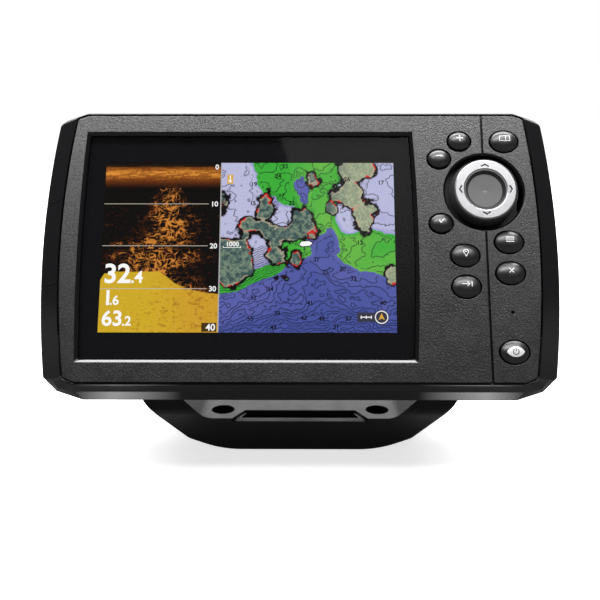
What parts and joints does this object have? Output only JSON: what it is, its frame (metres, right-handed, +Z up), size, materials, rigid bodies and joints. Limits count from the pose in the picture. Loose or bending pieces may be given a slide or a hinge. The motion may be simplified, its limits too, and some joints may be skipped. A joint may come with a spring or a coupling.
{
  "type": "chartplotter display",
  "caption": "Boat chartplotter and sonar display: flat screen beside keys and a rocking cursor pad in a bowed case, tilting on a U-shaped gimbal bracket with hand knobs.",
  "frame": {"origin": "middle of the bracket's underside, at the centre of its four fixing holes", "axes": "+Z up, -Y towards the viewer, +X to the viewer's right"},
  "size_m": [0.1932, 0.0853, 0.1334],
  "materials": {
    "bezel_plastic": "fine-grain textured moulding",
    "trim_plastic": "glossy",
    "case_plastic": "fine-grain textured moulding",
    "bracket_plastic": "satin glass-filled moulding",
    "knob_plastic": "satin",
    "key_rubber": "satin",
    "pad_rubber": "satin",
    "ring_metal": "satin",
    "inlay_metal": "satin",
    "cover_glass": "clear with a black printed border",
    "display_cell": "display",
    "tape": "foam tape",
    "tray_metal": "pressed sheet",
    "ribbon": "satin film",
    "board": "solder mask",
    "tin_plate": "tin plated",
    "spreader_metal": "extruded",
    "patch_ceramic": "fired",
    "sounder_plastic": "satin",
    "membrane_film": "felted film",
    "acetal": "satin",
    "silicone": "satin",
    "seal_rubber": "satin",
    "screw_steel": "passivated",
    "insert_brass": "turned",
    "pin_gold": "plated",
    "socket_plastic": "satin"
  },
  "bodies": {
    "bracket": {"gimbal_bracket": "bracket_plastic"},
    "head": {"front_bezel": "bezel_plastic", "side_trim_upper_left": "trim_plastic", "side_trim_lower_left": "trim_plastic", "side_trim_right": "trim_plastic", "card_door_pin": "screw_steel", "glass_tape": "tape", "screen_glass": "cover_glass", "lcd_panel": "display_cell", "lcd_backlight": "tray_metal", "lcd_flex": "ribbon", "cursor_post": "acetal", "keypad_mat": "silicone", "key_board": "board", "snap_domes": "tin_plate", "key_flex": "ribbon", "main_board": "board", "processor_shield": "tin_plate", "heat_spreader": "spreader_metal", "gps_antenna": "patch_ceramic", "coin_cell": "tin_plate", "sounder": "sounder_plastic", "sounder_membrane": "membrane_film", "card_socket": "tin_plate", "card_board": "board", "rear_case": "case_plastic", "case_seal": "seal_rubber", "case_screws": "screw_steel", "board_screws": "screw_steel", "vent_plug": "sounder_plastic", "pivot_inserts": "insert_brass", "friction_pad_left": "seal_rubber", "friction_pad_right": "seal_rubber", "socket_seals": "seal_rubber", "power_socket": "socket_plastic", "power_pins": "pin_gold", "sonar_socket": "socket_plastic", "sonar_pins": "pin_gold", "data_socket": "socket_plastic", "data_pins": "pin_gold"},
    "card_door": {"card_door": "trim_plastic"},
    "cursor_gimbal": {"cursor_gimbal": "acetal"},
    "cursor_pad": {"cursor_pad": "pad_rubber", "cursor_ring": "ring_metal"},
    "key_zoom_in_body": {"key_zoom_in": "key_rubber"},
    "key_zoom_out_body": {"key_zoom_out": "key_rubber"},
    "key_check_body": {"key_check": "key_rubber"},
    "key_view_body": {"key_view": "key_rubber"},
    "key_mark_body": {"key_mark": "key_rubber"},
    "key_goto_body": {"key_goto": "key_rubber"},
    "key_menu_body": {"key_menu": "key_rubber"},
    "key_exit_body": {"key_exit": "key_rubber"},
    "key_power_body": {"key_power": "key_rubber", "power_inlay": "inlay_metal"},
    "thrust_washer_left_body": {"thrust_washer_left": "acetal"},
    "knob_left_body": {"knob_stud_left": "screw_steel", "knob_left": "knob_plastic"},
    "thrust_washer_right_body": {"thrust_washer_right": "acetal"},
    "knob_right_body": {"knob_stud_right": "screw_steel", "knob_right": "knob_plastic"}
  },
  "joints": [
    {"name": "head_tilt", "type": "hinge", "parent": "bracket", "child": "head", "pos_m": [0, -0.0032, 0.0694], "axis": [-1, 0, 0], "range_deg": [-21.4, 33.6]},
    {"name": "card_door_hinge", "type": "hinge", "parent": "head", "child": "card_door", "pos_m": [-0.0946, -0.03017, 0.08502], "axis": [0, -0.4446, -0.8957], "range_deg": [0, 105]},
    {"name": "key_zoom_in_press", "type": "slide", "parent": "head", "child": "key_zoom_in_body", "axis": [0, 0.8957, -0.4446], "range_m": [0, 0.0008], "stiffness_N_per_m": 900},
    {"name": "key_zoom_out_press", "type": "slide", "parent": "head", "child": "key_zoom_out_body", "axis": [0, 0.8957, -0.4446], "range_m": [0, 0.0008], "stiffness_N_per_m": 900},
    {"name": "key_check_press", "type": "slide", "parent": "head", "child": "key_check_body", "axis": [0, 0.8957, -0.4446], "range_m": [0, 0.0008], "stiffness_N_per_m": 900},
    {"name": "key_view_press", "type": "slide", "parent": "head", "child": "key_view_body", "axis": [0, 0.8957, -0.4446], "range_m": [0, 0.0008], "stiffness_N_per_m": 900},
    {"name": "key_mark_press", "type": "slide", "parent": "head", "child": "key_mark_body", "axis": [0, 0.8957, -0.4446], "range_m": [0, 0.0008], "stiffness_N_per_m": 900},
    {"name": "key_goto_press", "type": "slide", "parent": "head", "child": "key_goto_body", "axis": [0, 0.8957, -0.4446], "range_m": [0, 0.0008], "stiffness_N_per_m": 900},
    {"name": "key_menu_press", "type": "slide", "parent": "head", "child": "key_menu_body", "axis": [0, 0.8957, -0.4446], "range_m": [0, 0.0008], "stiffness_N_per_m": 900},
    {"name": "key_exit_press", "type": "slide", "parent": "head", "child": "key_exit_body", "axis": [0, 0.8957, -0.4446], "range_m": [0, 0.0008], "stiffness_N_per_m": 900},
    {"name": "key_power_press", "type": "slide", "parent": "head", "child": "key_power_body", "axis": [0, 0.8957, -0.4446], "range_m": [0, 0.0008], "stiffness_N_per_m": 900},
    {"name": "cursor_tilt", "type": "hinge", "parent": "head", "child": "cursor_gimbal", "pos_m": [0.068, -0.02436, 0.10324], "axis": [1, 0, 0], "range_deg": [-4, 4], "stiffness_Nm_per_rad": 0.4},
    {"name": "cursor_roll", "type": "hinge", "parent": "cursor_gimbal", "child": "cursor_pad", "pos_m": [0.068, -0.02436, 0.10324], "axis": [0, 0.4446, 0.8957], "range_deg": [-4, 4], "stiffness_Nm_per_rad": 0.4},
    {"name": "washer_slide_left", "type": "slide", "parent": "head", "child": "thrust_washer_left_body", "axis": [-1, 0, 0], "range_m": [0, 0.0025]},
    {"name": "knob_turn_left", "type": "hinge", "parent": "thrust_washer_left_body", "child": "knob_left_body", "pos_m": [-0.075, -0.0032, 0.0694], "axis": [-1, 0, 0], "range_deg": [0, 720.5]},
    {"name": "washer_slide_right", "type": "slide", "parent": "head", "child": "thrust_washer_right_body", "axis": [1, 0, 0], "range_m": [0, 0.0025]},
    {"name": "knob_turn_right", "type": "hinge", "parent": "thrust_washer_right_body", "child": "knob_right_body", "pos_m": [0.075, -0.0032, 0.0694], "axis": [1, 0, 0], "range_deg": [0, 720.5]}
  ],
  "couplings": [
    {"joint": "knob_turn_left", "follows": "washer_slide_left", "rad_per_m": 5026.5},
    {"joint": "knob_turn_right", "follows": "washer_slide_right", "rad_per_m": 5026.5}
  ]
}
